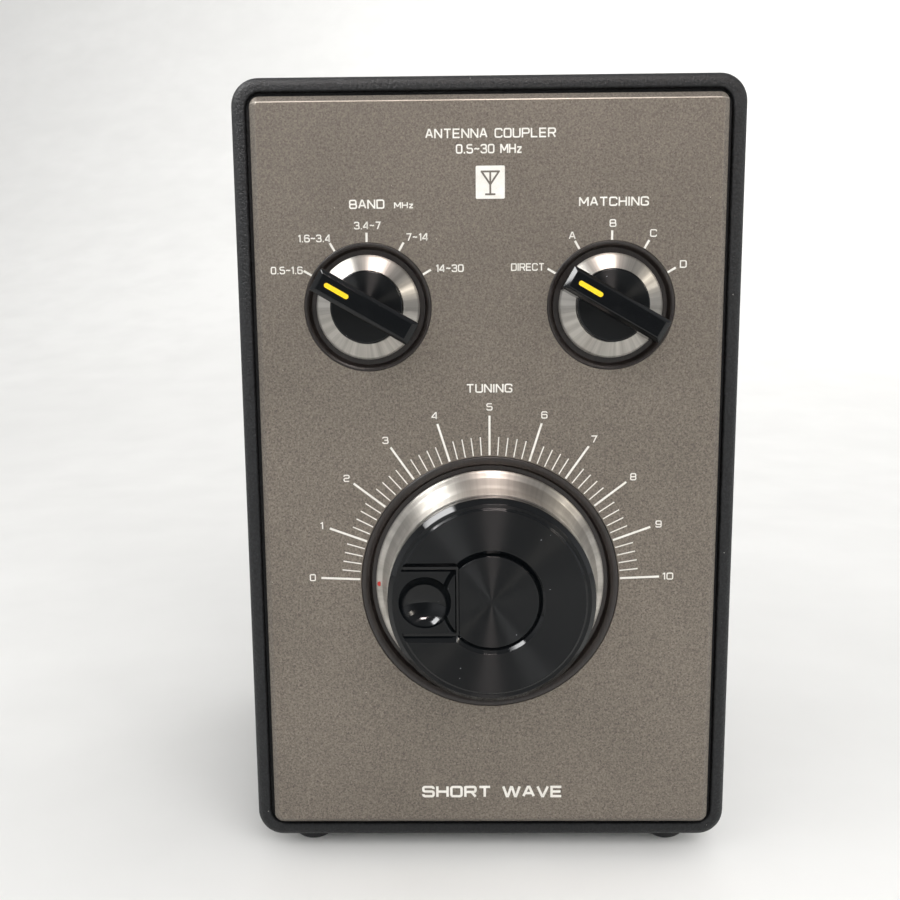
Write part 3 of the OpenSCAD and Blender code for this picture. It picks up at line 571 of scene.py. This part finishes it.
PANEL = Matrix.Translation((0, panel_face, case_middle)) @ OUT_OF_FRONT @ TO_METRES


def centre_on_panel(axis):
    """A knob's axis in the panel's own millimetres"""
    return axis.x * 1000, (axis.z - case_middle) * 1000


def hole_tool(x, y, radius):
    """Drill for a round hole through the panel"""
    bm = bmesh.new()
    bmesh.ops.create_circle(bm, cap_ends=True, segments=128, radius=radius)
    bmesh.ops.translate(bm, vec=(x, y, -8), verts=bm.verts)
    thickened(bm, 12)
    return bm


plate, loops = skin([
    case_ring(4.8, 2.3, 7), case_ring(4.8, 2.3, 1.6), case_ring(6.4, 0.9, 0),
], segments=8)
round_edges(plate, loops[1] + loops[2], 0.25, 2)
hollow, _ = skin([case_ring(7, 1, 8), case_ring(7, 1, 2.5)])
TUNING_HOLE, SELECTOR_HOLE = 31.5, 15
holes = [hole_tool(*centre_on_panel(tuning), TUNING_HOLE)]
holes += [hole_tool(*centre_on_panel(axis), SELECTOR_HOLE) for axis in (band, matching)]
plate = carved(plate, [hollow] + holes)
piece("panel", plate, PANEL, finishes["bronze_panel"], "case", ["front_panel"])


def dish(radius, lip):
    """Dish let into the panel, with a rounded lip, a sloping wall and a groove behind the lip"""
    return turned([
        (4, -3.3, 0), (radius + 1.5, -3.3, 0), (radius + 1.5, -2.55, 0), (radius, -2.55, 0),
        (radius, 0.12, 0.35), (radius - lip * 0.55, 0.12, 0.3), (radius - lip, -0.25, 0.15),
        (radius - lip - 0.5, -1.8, 0.2), (4, -1.8, 0),
    ], 144)


for name, axis, radius, lip in (
    ("tuning_dish", tuning, 31.4, 1.8),
    ("band_dish", band, 14.9, 0.9),
    ("matching_dish", matching, 14.9, 0.9),
):
    piece(name + "_moulding", dish(radius, lip), on_face(axis.x, axis.z), finishes["dish_plastic"],
          "case", [name])

# Letters are strokes on a grid 4 wide and 6 high: advance, whether the corners are round, strokes
LETTERS = {
    "A": (4, False, [(0, 0), (1.7, 6), (2.3, 6), (4, 0)], [(0.65, 2), (3.35, 2)]),
    "B": (4, True, [(0, 3), (0, 6), (3.7, 6), (3.7, 3)], [(0, 0), (4, 0), (4, 3), (0, 3), (0, 0)]),
    "C": (4, True, [(4, 4.5), (4, 6), (0, 6), (0, 0), (4, 0), (4, 1.5)]),
    "D": (4, True, [(0, -0.4), (0, 6.4)], [(0, 6), (4, 6), (4, 0), (0, 0)]),
    "E": (3.8, False, [(3.8, 6), (0, 6), (0, 0), (3.8, 0)], [(0, 3), (3.5, 3)]),
    "G": (4, True, [(4, 4.5), (4, 6), (0, 6), (0, 0), (4, 0), (4, 2.8), (2.2, 2.8)]),
    "H": (4, False, [(0, -0.4), (0, 6.4)], [(4, -0.4), (4, 6.4)], [(0, 3), (4, 3)]),
    "I": (0.3, False, [(0.15, -0.4), (0.15, 6.4)]),
    "K": (4, False, [(0, -0.4), (0, 6.4)], [(4, 6.3), (0.2, 2.6)], [(1.4, 3.6), (4, -0.3)]),
    "L": (3.6, False, [(0, 6.4), (0, 0), (3.6, 0)]),
    "M": (4.8, False, [(0, -0.4), (0, 6.4)], [(0.1, 6.2), (2.4, 1.4)], [(2.4, 1.4), (4.7, 6.2)],
          [(4.8, -0.4), (4.8, 6.4)]),
    "N": (4, False, [(0, -0.4), (0, 6.4)], [(0.1, 6.2), (3.9, -0.2)], [(4, -0.4), (4, 6.4)]),
    "O": (4, True, [(0, 0), (0, 6), (4, 6), (4, 0), (0, 0)]),
    "P": (4, True, [(0, -0.4), (0, 6.4)], [(0, 6), (4, 6), (4, 2.7), (0, 2.7)]),
    "R": (4, True, [(0, -0.4), (0, 6.4)], [(0, 6), (4, 6), (4, 2.8), (0, 2.8)],
          [(2.4, 2.8), (4, -0.3)]),
    "S": (4, True, [(4, 4.7), (4, 6), (0, 6), (0, 3.1), (4, 3.1), (4, 0), (0, 0), (0, 1.3)]),
    "T": (4.2, False, [(0, 6), (4.2, 6)], [(2.1, 6), (2.1, -0.4)]),
    "U": (4, True, [(0, 6.4), (0, 0), (4, 0), (4, 6.4)]),
    "V": (4, False, [(0, 6.3), (1.8, 0), (2.2, 0), (4, 6.3)]),
    "W": (6.4, False,
          [(0, 6.3), (1.4, 0), (1.8, 0), (3, 5.8), (3.4, 5.8), (4.6, 0), (5, 0), (6.4, 6.3)]),
    "z": (3, False, [(0, 4.1), (3.1, 4.1)], [(2.9, 4), (0.1, 0.1)], [(0, 0), (3.1, 0)]),
    "0": (3.8, True, [(0, 0), (0, 6), (3.8, 6), (3.8, 0), (0, 0)]),
    "1": (1.4, False, [(0, 4.9), (1.1, 6), (1.3, 6), (1.3, -0.4)]),
    "2": (3.8, True, [(0, 4.7), (0, 6), (3.8, 6), (3.8, 3), (0, 3), (0, 0), (3.8, 0)]),
    "3": (3.8, True, [(0, 4.8), (0, 6), (3.6, 6), (3.6, 3.1), (1.2, 3.1)],
          [(2.6, 3.1), (3.8, 3.1), (3.8, 0), (0, 0), (0, 1.3)]),
    "4": (3.8, False, [(3.8, 1.4), (0, 1.4), (0, 2), (2.6, 6), (3, 6), (3, -0.4)]),
    "5": (3.8, True, [(3.7, 6), (0, 6), (0, 3.3), (3.8, 3.3), (3.8, 0), (0, 0), (0, 1.2)]),
    "6": (3.8, True, [(3.8, 4.8), (3.8, 6), (0, 6), (0, 0), (3.8, 0), (3.8, 3.4), (0, 3.4)]),
    "7": (3.6, False, [(0, 6), (3.6, 6), (1.4, -0.3)]),
    "8": (3.8, True, [(0.1, 3), (0.1, 6), (3.7, 6), (3.7, 3)],
          [(0, 0), (3.8, 0), (3.8, 3), (0, 3), (0, 0)]),
    "9": (3.8, True, [(0, 1.2), (0, 0), (3.8, 0), (3.8, 6), (0, 6), (0, 2.6), (3.8, 2.6)]),
    ".": (0.9, False, [(0, 0), (0.9, 0)]),
    "~": (3.4, True, [(0, 2.6), (0.5, 3.5), (2.9, 2.5), (3.4, 3.4)]),
    " ": (2.2, False),
}
# Gap between letters on their grid, and the ink's height in millimetres
LETTER_GAP = 1.5
INK = 0.035
# Overlapping strokes of a letter lie this much above each other
STROKE_STEP = 0.004
# Stroke widths of the lines of print
TITLE_STROKE, NUMBER_STROKE, SHORT_WAVE_STROKE, REAR_STROKE = 0.33, 0.27, 0.62, 0.36


def stroke(bm, points, rounding, level):
    """One stroke of a letter as a line, closed where it ends at its start"""
    closed = points[0] == points[-1]
    corners = [bm.verts.new((x, y, level)) for x, y in (points[:-1] if closed else points)]
    for start, end in zip(corners, corners[1:]):
        bm.edges.new((start, end))
    if closed:
        bm.edges.new((corners[-1], corners[0]))
    if rounding:
        round_corners(bm, corners if closed else corners[1:-1], rounding, 3)


def letter_line(bm, text, x, y, width, cap, thickness):
    """A line of letters about (x, y), as wide and as high over their inked edges as given"""
    advances = [LETTERS[letter][0] for letter in text]
    across = (width - thickness) / (sum(advances) + LETTER_GAP * (len(text) - 1))
    up = (cap - thickness) / 6
    left = x - (width - thickness) / 2
    for letter, advance in zip(text, advances):
        _, rounded, *strokes = LETTERS[letter]
        for number, points in enumerate(strokes):
            placed = [(left + px * across, y + (py - 3) * up) for px, py in points]
            stroke(bm, placed, min(across, up) * 1.1 if rounded else 0, number * STROKE_STEP)
        left += (advance + LETTER_GAP) * across


def inked(lines, thickness):
    """Lines grown into flat ink of one stroke width"""
    swept(lines, (0, 0, INK))
    bmesh.ops.remove_doubles(lines, verts=lines.verts, dist=1e-4)
    bmesh.ops.recalc_face_normals(lines, faces=lines.faces)
    holder = as_object("ink", lines)
    width = holder.modifiers.new("stroke width", "SOLIDIFY")
    width.thickness = thickness
    width.offset = 0
    width.use_even_offset = True
    return settled(holder)


def panel_print(bottom_up):
    """Height above the cabinet's bottom as the panel's own y"""
    return bottom_up - case_height / 2


titles = bmesh.new()
letter_line(titles, "ANTENNA COUPLER", 0.36, panel_print(174.19), 29.9, 2.15, TITLE_STROKE)
for text, x, height, width in (
    ("0.5~30 MHz", 0, 170.75, 15.2), ("BAND", -28.3, 158.62, 8.2), ("MATCHING", 28.8, 158.74, 16.1),
    ("TUNING", -0.04, 115.83, 11.0),
):
    letter_line(titles, text, x, panel_print(height), width, 2.1, TITLE_STROKE)
piece("titles", inked(titles, TITLE_STROKE), PANEL, white_ink, "case")

NUMBER_HEIGHT, UNIT_HEIGHT = 1.75, 1.45
numbers = bmesh.new()
for text, x, height, width in (
    ("MHz", -19.73, 158.32, 4.5), ("0.5~1.6", -47.35, 143.73, 7.5),
    ("1.6~3.4", -40.69, 150.99, 7.6), ("3.4~7", -28.28, 153.82, 6.2),
    ("7~14", -16.75, 151.11, 5.2), ("14~30", -9.2, 143.91, 6.5),
    ("DIRECT", 8.99, 144.03, 7.8), ("A", 19.27, 151.11, 1.6), ("B", 28.65, 153.85, 1.6),
    ("C", 38.05, 151.51, 1.6), ("D", 45.11, 144.4, 1.6),
):
    cap_height = UNIT_HEIGHT if text == "MHz" else NUMBER_HEIGHT
    letter_line(numbers, text, x, panel_print(height), width, cap_height, NUMBER_STROKE)
dial_x, dial_y = centre_on_panel(tuning)
# Degrees from one numeral of the tuning scale to the next, and the circle the numerals stand on
DIVISION = 17.55
NUMERAL_CIRCLE = 43.4
for number in range(11):
    angle = math.radians(90 + (5 - number) * DIVISION)
    spot = dial_x + NUMERAL_CIRCLE * math.cos(angle), dial_y + NUMERAL_CIRCLE * math.sin(angle)
    width = {1: 0.75, 10: 2.7}.get(number, 1.5)
    letter_line(numbers, str(number), *spot, width, NUMBER_HEIGHT, NUMBER_STROKE)
piece("numbers", inked(numbers, NUMBER_STROKE), PANEL, white_ink, "case")

short_wave = bmesh.new()
letter_line(short_wave, "SHORT WAVE", 0.51, panel_print(13.77), 35.5, 3.1, SHORT_WAVE_STROKE)
piece("short_wave_line", inked(short_wave, SHORT_WAVE_STROKE), PANEL, white_ink,
      "case")


def mark(bm, x, y, angle, inner, outer, width):
    """Radial mark of a scale about (x, y)"""
    place = Matrix.Translation((x, y, 0)) @ Matrix.Rotation(angle, 4, "Z")
    place = place @ Matrix.Translation(((inner + outer) / 2, 0, INK / 2))
    place = place @ Matrix.Diagonal((outer - inner, width, INK, 1))
    bmesh.ops.create_cube(bm, size=1, matrix=place)


SCALE_START = 31.75
MAIN_MARK, SMALL_MARK = (41.3, 0.5), (36.2, 0.27)
SELECTOR_MARK = (15.05, 17.2, 0.5)
# Directions of a selector's five positions; it is stored at the last of them
SELECTOR_STOPS = (30, 60, 90, 120, 150)
STORED_STOP = SELECTOR_STOPS[-1]
scale = bmesh.new()
for step in range(51):
    angle = math.radians(90 + (25 - step) * DIVISION / 5)
    mark(scale, dial_x, dial_y, angle, SCALE_START, *(SMALL_MARK if step % 5 else MAIN_MARK))
for axis in (band, matching):
    for angle in SELECTOR_STOPS:
        mark(scale, *centre_on_panel(axis), math.radians(angle), *SELECTOR_MARK)
piece("scale_marks", scale, PANEL, white_ink, "case")

BADGE = (0.29, panel_print(163.28))
badge = bmesh.new()
rounded_plate(badge, 6.7, 7.4, 0.3, 0)
thickened(badge, INK)
bmesh.ops.translate(badge, vec=(*BADGE, 0), verts=badge.verts)
piece("badge_ground", badge, PANEL, white_ink, "case")

sign = bmesh.new()
# An aerial on its mast: the mast, the two arms, the line across them and the ground line
for number, points in enumerate((
    [(0, -2.8), (0, 2.4)], [(-2, 2.4), (0, -0.5), (2, 2.4)], [(-2.2, 2.4), (2.2, 2.4)],
    [(-1.2, -2.7), (1.2, -2.7)],
)):
    placed = [(BADGE[0] + x, BADGE[1] + y) for x, y in points]
    stroke(sign, placed, 0, INK + 0.01 + number * STROKE_STEP)
piece("badge_sign", inked(sign, 0.42), PANEL, brown_ink, "case")

above_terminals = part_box("terminal_block")[1].z * 1000 + 4
rear_print = bmesh.new()
for text, x, height, width in (
    ("RECEIVER", -26, 166, 15), ("ANTENNA", 26, 166, 14), ("WIRE", 0, above_terminals, 8),
    ("GROUND", 0, 50, 13),
):
    letter_line(rear_print, text, x, height, width, 2.3, REAR_STROKE)
piece("rear_print", inked(rear_print, REAR_STROKE), on_rear(), white_ink, "case")

# ---- Tuning knob -----------------------------------------------------------

TUNING = on_face(tuning.x, tuning.z)
skirt = turned([
    (3.05, -1, 0), (7.5, -1, 0.3), (7.5, 3.8, 0.5), (22.9, 3.8, 0), (23.6, 3, 0), (25.4, -1.3, 0.2),
    (27.95, -1.3, 0.15), (27.95, -0.75, 0.2), (27.5, -0.4, 0.2), (26.3, 0, 0.3), (25, 3.1, 0.5),
    (24.3, 4.2, 0.4), (24.3, 10.6, 0.1), (22.7, 10.6, 0), (22.7, 5.2, 0), (3.05, 5.2, 0),
], 192)
piece("knob_skirt", skirt, TUNING, finishes["knob_aluminium"], "tuning",
      ["tuning_skirt"])

dot = turned([(0, -0.2, 0), (0.6, -0.2, 0), (0.6, 0.03, 0.05), (0, 0.06, 0)], 24)
bmesh.ops.translate(dot, vec=(-27, 0, -0.2), verts=dot.verts)
piece("index_dot", dot, TUNING, finishes["red_paint"], "tuning", ["tuning_index_dot"])

# Heights over the panel of the cap's face, of its thumb pad and of the groove round that
FACE, PAD, GROOVE = 15.6, 15.2, 14.4
# Radius of the cap's flat face inside its bevelled rim
RIM = 21.95
cap = turned([
    (0, 5.4, 0), (22.5, 5.4, 0.2), (22.5, 10.75, 0.1), (24, 10.75, 0.15), (24, FACE - 1.6, 0.1),
    (22.8, PAD, 0.06), (RIM, PAD, 0.05), (21.5, FACE, 0.05), (12.25, FACE, 0.06),
    (11.05, GROOVE, 0.05), (10.75, PAD, 0.08), (0, PAD - 0.3, 0),
], 192)


def within_rim(tool):
    """Keeps a cutting tool inside the cap's flat rim"""
    limit = turned([(0, 9, 0), (RIM, 9, 0), (RIM, 20, 0), (0, 20, 0)], 192)
    return carved(tool, [limit], "INTERSECT")


pad, _ = skin([
    (18.9, 16.4, 0.4, GROOVE), (19.6, 18.7, 1.4, FACE), (19.6, 18.7, 1.4, 18),
], segments=6)
bmesh.ops.translate(pad, vec=(-17.05, 0, 0), verts=pad.verts)
island, _ = skin([
    (20, 15.2, 0.3, GROOVE - 1), (20, 15.2, 0.3, GROOVE), (19.4, 14.6, 0.3, PAD),
], segments=4)
bmesh.ops.translate(island, vec=(-18.1, 0, 0), verts=island.verts)
pad = within_rim(carved(pad, [island]))
thumb = bmesh.new()
bmesh.ops.create_uvsphere(thumb, u_segments=72, v_segments=36, radius=7.2)
bmesh.ops.translate(thumb, vec=(-15.3, 0, PAD + 3.9), verts=thumb.verts)
cap = carved(cap, [pad, thumb])
piece("knob_cap", cap, TUNING, finishes["knob_black"], "tuning", ["tuning_cap"])

# ---- Selector knobs --------------------------------------------------------


# Middle of the filled slot along the pointer bar
SLOT_MIDDLE = 7


def selector(name, axis, body):
    """Selector knob, stored: turned ring, black boss and pointer bar with a filled slot"""
    metal = turned_aluminium("turned_aluminium_" + name, axis)
    black = spun_black("spun_black_resin_" + name, axis, *SELECTOR_SPUN)
    ring = turned([
        (8.5, -1.2, 0), (12.2, -1.2, 0.15), (12.2, -0.5, 0.15), (11.75, 0.1, 0.1), (8.6, 2, 0),
        (8.5, 2, 0),
    ], 128)
    piece(name + "_bevel_ring", ring, on_face(axis.x, axis.z), metal, body,
          [name + "_ring"])
    boss = turned([
        (0, -1.2, 0), (8.4, -1.2, 0.1), (8.4, 3.75, 0.15), (8.1, 4, 0.1), (0, 4.4, 0),
    ], 128)
    bar, loops = skin([
        (24.8, 5.5, 0.35, 1.6), (25.4, 5.7, 0.35, 8.6), (23, 3.9, 0.2, 9.6),
    ], segments=2)
    round_edges(bar, loops[1] + loops[2], 0.18, 2)
    # Room that the pointer bar leaves for the ring
    clear = turned([
        (8.45, -2, 0), (12.5, -2, 0), (12.5, 0.3, 0), (8.7, 2.5, 0), (8.45, 2.5, 0),
    ], 128)
    slot = bmesh.new()
    rounded_plate(slot, 6.15, 1.15, 0.57, 9.2, 6)
    thickened(slot, 2)
    bmesh.ops.translate(slot, vec=(SLOT_MIDDLE, 0, 0), verts=slot.verts)
    knob = carved(carved(boss, [bar], "UNION"), [clear, slot])
    stored = on_face(axis.x, axis.z, STORED_STOP)
    piece(name + "_pointer", knob, stored, black, body, [name + "_knob"])
    fill = bmesh.new()
    rounded_plate(fill, 6.1, 1.1, 0.54, 9.25, 6)
    thickened(fill, 0.38)
    bmesh.ops.translate(fill, vec=(SLOT_MIDDLE, 0, 0), verts=fill.verts)
    piece(name + "_fill", fill, stored, finishes["yellow_paint"], body,
          [name + "_inlay"])


selector("band", band, "band_selector")
selector("matching", matching, "matching_selector")

# ---- Studio ----------------------------------------------------------------

# Side view of the paper: the floor's front, its back, and the backdrop's top
sweep = bmesh.new()
line = [(-1.6, 0), (2.6, 0), (2.9, 3.2)]
spots = [sweep.verts.new((-4, y, z)) for y, z in line]
for start, end in zip(spots, spots[1:]):
    sweep.edges.new((start, end))
round_corners(sweep, spots[1:2], 2.2, 24)
swept(sweep, (8, 0, 0))
bmesh.ops.recalc_face_normals(sweep, faces=sweep.faces)
if sweep.faces[0].normal.z < 0:
    bmesh.ops.reverse_faces(sweep, faces=sweep.faces)
floor = as_object("floor", sweep)
floor.data.shade_smooth()
# Matt paper sweep: pale, with the faintest unevenness
paper = mottled("paper_sweep", "#f4f3f0", "#eeedea", 60, 0.0, 0.85, 0.95, IOR=1.4)
floor.data.materials.append(paper)


def softbox(name, place, towards, width, height, power, tint="#ffffff",
            mirrored=True, spreads=True):
    """Soft light aimed at a point; it may show in glossy faces and may light matt ones"""
    data = bpy.data.lights.new(name, "AREA")
    data.shape = "RECTANGLE"
    data.size = width
    data.size_y = height
    data.energy = power
    data.color = colour(tint)[:3]
    made = bpy.data.objects.new(name, data)
    made.location = place
    made.rotation_euler = (Vector(towards) - Vector(place)).to_track_quat("-Z", "Y").to_euler()
    made.visible_glossy = mirrored
    made.visible_diffuse = spreads
    bpy.context.scene.collection.objects.link(made)
    return made


OBJECT_FRONT = (0, -0.03, 0.10)
softbox("window_left", (-0.50, -0.26, 0.72), (0, -0.05, 0.10), 0.26, 0.34, 7, spreads=False)
softbox("lamp_above", (0.08, -0.75, 1.05), OBJECT_FRONT, 0.34, 0.12, 9, "#fff1ec", spreads=False)
softbox("lamp_right", (0.95, -0.7, 0.65), OBJECT_FRONT, 0.14, 0.3, 3, "#fff6e8", spreads=False)
softbox("ceiling", (1.6, 0.3, 1.8), (1.0, 0.3, 0), 2.0, 3.4, 14, mirrored=False)
softbox("window_glow", (-0.9, -0.6, 1.1), OBJECT_FRONT, 0.8, 0.8, 2.5, mirrored=False)
softbox("front_fill", (0.3, -0.9, 0.7), (0.05, -0.15, 0), 1.0, 0.6, 8.5, mirrored=False)
softbox("backdrop_wash", (0.7, 0.9, 1.9), (0.5, 2.8, 0.9), 2.2, 0.8, 25, mirrored=False)

# The room: bright round the horizon, dimmer overhead and where people stand in front
world = bpy.data.worlds.new("studio")
bpy.context.scene.world = world
world.use_nodes = True
tree = world.node_tree
direction = node(tree, "TexCoord").outputs["Generated"]
rise = node(tree, "SeparateXYZ", {0: direction}).outputs[2]
ceiling = node(tree, "MapRange", {0: rise, 1: 0.15, 2: 0.75, 3: 1.0, 4: 0.5},
               interpolation_type="SMOOTHSTEP").outputs[0]
toward_viewer = node(tree, "VectorMath", {0: direction, 1: (0.3, -0.95, 0.02)},
                     operation="DOT_PRODUCT").outputs["Value"]
viewer = node(tree, "MapRange", {0: toward_viewer, 1: 0.55, 2: 0.96, 3: 1.0, 4: 0.25},
              interpolation_type="SMOOTHSTEP").outputs[0]
strength = node(tree, "Math", {0: ceiling, 1: viewer}, operation="MULTIPLY").outputs[0]
tree.links.new(strength, tree.nodes["Background"].inputs["Strength"])
tree.nodes["Background"].inputs["Color"].default_value = colour("#fcfdff")

# The camera stands a little left of the middle, looks down on the knobs and is hardly turned
CAMERA_ACROSS, CAMERA_AHEAD, CAMERA_HEIGHT = -0.006585, 0.21773, 0.13534
CAMERA_TURN = (82.169, 0.459, 0.717)
camera_data = bpy.data.cameras.new("camera")
camera_data.sensor_width = 36
camera_data.lens = 35.8
camera_data.clip_start = 0.01
camera = bpy.data.objects.new("camera", camera_data)
camera.location = (CAMERA_ACROSS, edge_plane - CAMERA_AHEAD, CAMERA_HEIGHT)
camera.rotation_euler = [math.radians(angle) for angle in CAMERA_TURN]
bpy.context.scene.collection.objects.link(camera)
bpy.context.scene.camera = camera
bpy.context.scene.view_settings.view_transform = "Standard"
